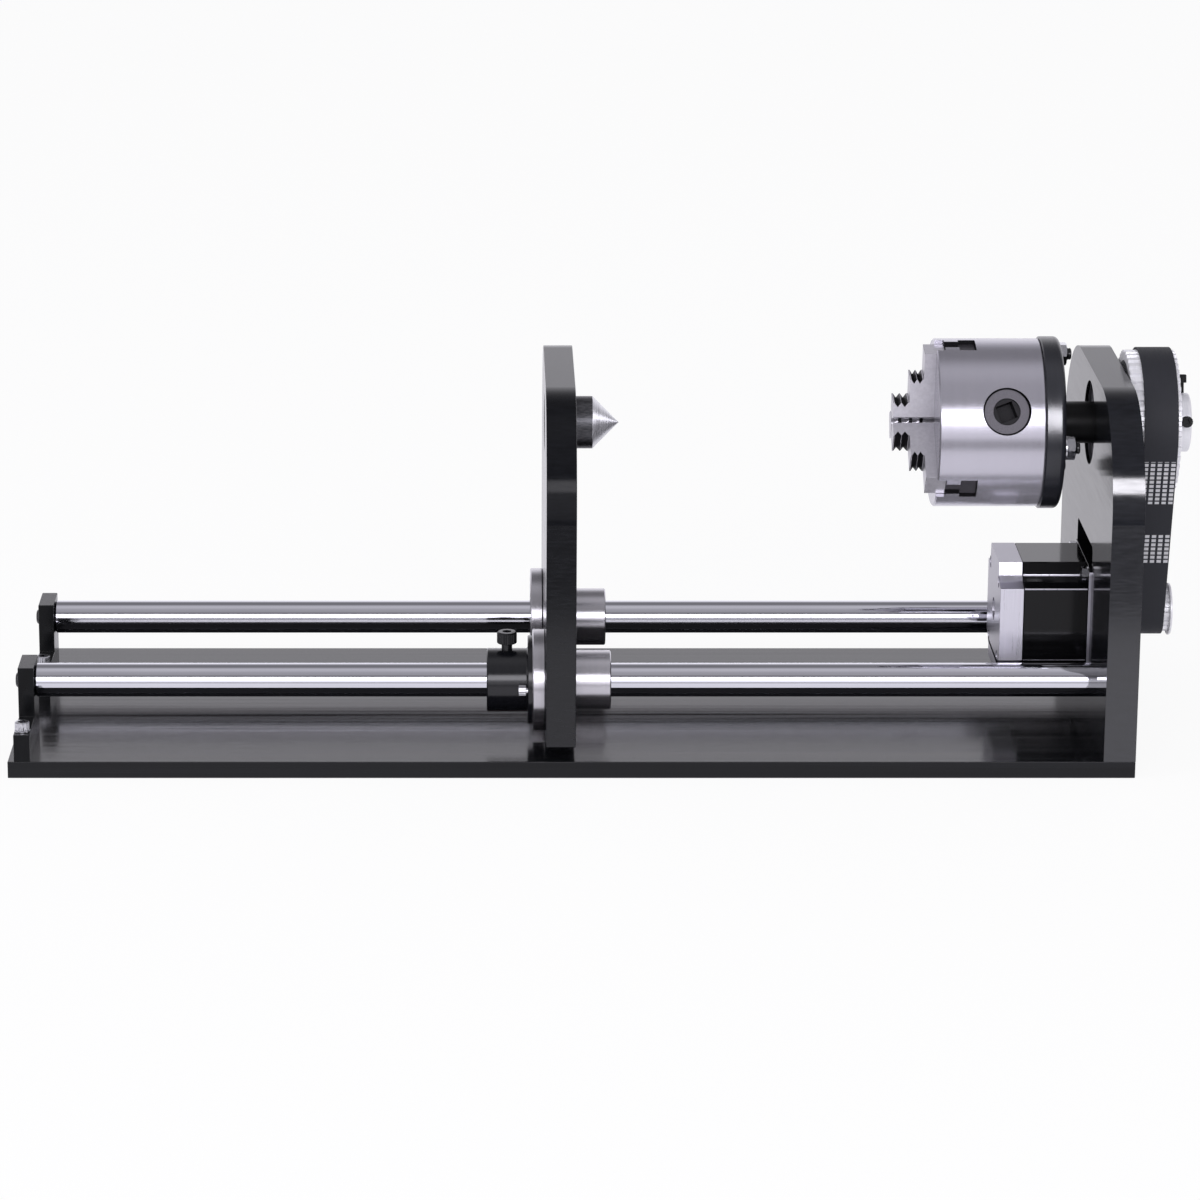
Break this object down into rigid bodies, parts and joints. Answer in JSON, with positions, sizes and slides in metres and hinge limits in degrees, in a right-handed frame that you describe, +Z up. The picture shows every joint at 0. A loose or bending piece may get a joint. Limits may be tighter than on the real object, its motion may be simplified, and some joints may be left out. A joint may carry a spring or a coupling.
{
  "type": "cnc rotary axis",
  "caption": "Rotary axis for a CNC table: belt driven three-jaw chuck headstock and a sliding tailstock with a live centre on two round rails.",
  "frame": {"origin": "centre of the underside of the base plate", "axes": "+X along the rails towards the chuck and the headstock, +Y to the back, +Z up"},
  "size_m": [0.558, 0.188, 0.189],
  "materials": {
    "black_anodised": "brushed, anodised black, satin gloss",
    "hard_chrome": "ground and hard chrome plated shaft",
    "bright_steel": "ground bright steel with fine circular lines",
    "jaw_steel": "ground hardened steel",
    "pinion_steel": "dull grey steel",
    "turned_steel": "turned steel with fine rings",
    "bushing_steel": "ground bright steel",
    "bearing_steel": "polished bearing steel",
    "rotor_steel": "stacked steel sheets",
    "silver_fasteners": "zinc plated, bright",
    "black_oxide": "black oxide, satin",
    "black_steel": "blackened steel, satin",
    "bare_aluminium": "machined bare aluminium",
    "cast_aluminium": "fine machined casting",
    "motor_black": "gloss black paint",
    "belt_rubber": "matte rubber with fabric tooth face",
    "black_rubber": "matte rubber"
  },
  "bodies": {
    "frame": {"base_plate": "black_anodised", "headstock_plate": "black_anodised", "front_rail": "hard_chrome", "rear_rail": "hard_chrome", "front_end_post": "black_anodised", "rear_end_post": "black_anodised", "foot_screws": "silver_fasteners", "foot_washers": "silver_fasteners", "rail_left_screws": "black_oxide", "rail_right_screws": "black_oxide", "base_screws": "black_oxide", "spindle_bearing_outer": "bearing_steel", "spindle_bearing_shields": "bearing_steel", "motor_rear_cap": "cast_aluminium", "motor_stack": "motor_black", "motor_front_cap": "cast_aluminium", "motor_case_screws": "silver_fasteners", "motor_mount_screws": "black_oxide", "motor_mount_nuts": "silver_fasteners", "motor_lead_grommet": "black_rubber", "timing_belt": "belt_rubber"},
    "spindle": {"spindle_tube": "black_steel", "spindle_bearing_inner": "bearing_steel", "spindle_bearing_balls": "bearing_steel", "chuck_backplate": "black_steel", "chuck_body": "bright_steel", "chuck_rear_cover": "bright_steel", "chuck_studs": "black_oxide", "chuck_nuts": "silver_fasteners", "chuck_washers": "silver_fasteners", "spindle_pulley": "bare_aluminium", "pulley_set_screws": "black_oxide"},
    "scroll": {"scroll_plate": "jaw_steel"},
    "pinion_1": {"pinion_1": "pinion_steel"},
    "pinion_2": {"pinion_2": "pinion_steel"},
    "pinion_3": {"pinion_3": "pinion_steel"},
    "jaw_1": {"jaw_1": "jaw_steel"},
    "jaw_2": {"jaw_2": "jaw_steel"},
    "jaw_3": {"jaw_3": "jaw_steel"},
    "motor_rotor": {"motor_shaft": "bearing_steel", "rotor_core": "rotor_steel", "drive_pulley": "bare_aluminium", "drive_grub_screw": "black_oxide"},
    "tailstock": {"tailstock_plate": "black_anodised", "front_bushing": "bushing_steel", "rear_bushing": "bushing_steel", "bushing_seals": "black_rubber", "bushing_screws": "black_oxide", "lock_collar": "black_steel", "collar_screws": "silver_fasteners", "centre_bearing_outer": "bearing_steel"},
    "centre": {"live_centre": "turned_steel", "centre_bearing_inner": "bearing_steel", "centre_bearing_balls": "bearing_steel", "centre_end_screw": "black_oxide"},
    "lock_screw": {"lock_screw": "black_oxide"}
  },
  "joints": [
    {"name": "tailstock_slide", "type": "slide", "parent": "frame", "child": "tailstock", "axis": [1, 0, 0], "range_m": [-0.2125, 0.13]},
    {"name": "centre_spin", "type": "hinge", "parent": "tailstock", "child": "centre", "pos_m": [0.0024, 0, 0.148], "axis": [1, 0, 0], "continuous": true},
    {"name": "lock_screw_turn", "type": "hinge", "parent": "tailstock", "child": "lock_screw", "pos_m": [-0.03, -0.054, 0.054], "axis": [0, 0, 1], "range_deg": [-135, 720]},
    {"name": "spindle_spin", "type": "hinge", "parent": "frame", "child": "spindle", "pos_m": [0.2483, 0, 0.148], "axis": [1, 0, 0], "continuous": true},
    {"name": "motor_spin", "type": "hinge", "parent": "frame", "child": "motor_rotor", "pos_m": [0.256, 0, 0.0555], "axis": [1, 0, 0], "continuous": true},
    {"name": "scroll_turn", "type": "hinge", "parent": "spindle", "child": "scroll", "pos_m": [0.196, 0, 0.148], "axis": [1, 0, 0], "range_deg": [-86.4, 720]},
    {"name": "pinion_1_turn", "type": "hinge", "parent": "spindle", "child": "pinion_1", "pos_m": [0.2046, 0, 0.148], "axis": [0, -0.9336, 0.3584], "range_deg": [-260, 2161]},
    {"name": "pinion_2_turn", "type": "hinge", "parent": "spindle", "child": "pinion_2", "pos_m": [0.2046, 0, 0.148], "axis": [0, 0.7771, 0.6293], "range_deg": [-260, 2161]},
    {"name": "pinion_3_turn", "type": "hinge", "parent": "spindle", "child": "pinion_3", "pos_m": [0.2046, 0, 0.148], "axis": [0, 0.1564, -0.9877], "range_deg": [-260, 2161]},
    {"name": "jaw_1_slide", "type": "slide", "parent": "spindle", "child": "jaw_1", "axis": [0, -0.1564, 0.9877], "range_m": [-0.00121, 0.01001]},
    {"name": "jaw_2_slide", "type": "slide", "parent": "spindle", "child": "jaw_2", "axis": [0, 0.9336, -0.3584], "range_m": [-0.00121, 0.01001]},
    {"name": "jaw_3_slide", "type": "slide", "parent": "spindle", "child": "jaw_3", "axis": [0, -0.7771, -0.6293], "range_m": [-0.00121, 0.01001]}
  ],
  "couplings": [
    {"joint": "motor_spin", "follows": "spindle_spin", "ratio": 3.1429},
    {"joint": "pinion_1_turn", "follows": "scroll_turn", "ratio": 3},
    {"joint": "pinion_2_turn", "follows": "scroll_turn", "ratio": 3},
    {"joint": "pinion_3_turn", "follows": "scroll_turn", "ratio": 3},
    {"joint": "jaw_1_slide", "follows": "scroll_turn", "m_per_rad": 0.00079577},
    {"joint": "jaw_2_slide", "follows": "scroll_turn", "m_per_rad": 0.00079577},
    {"joint": "jaw_3_slide", "follows": "scroll_turn", "m_per_rad": 0.00079577}
  ]
}
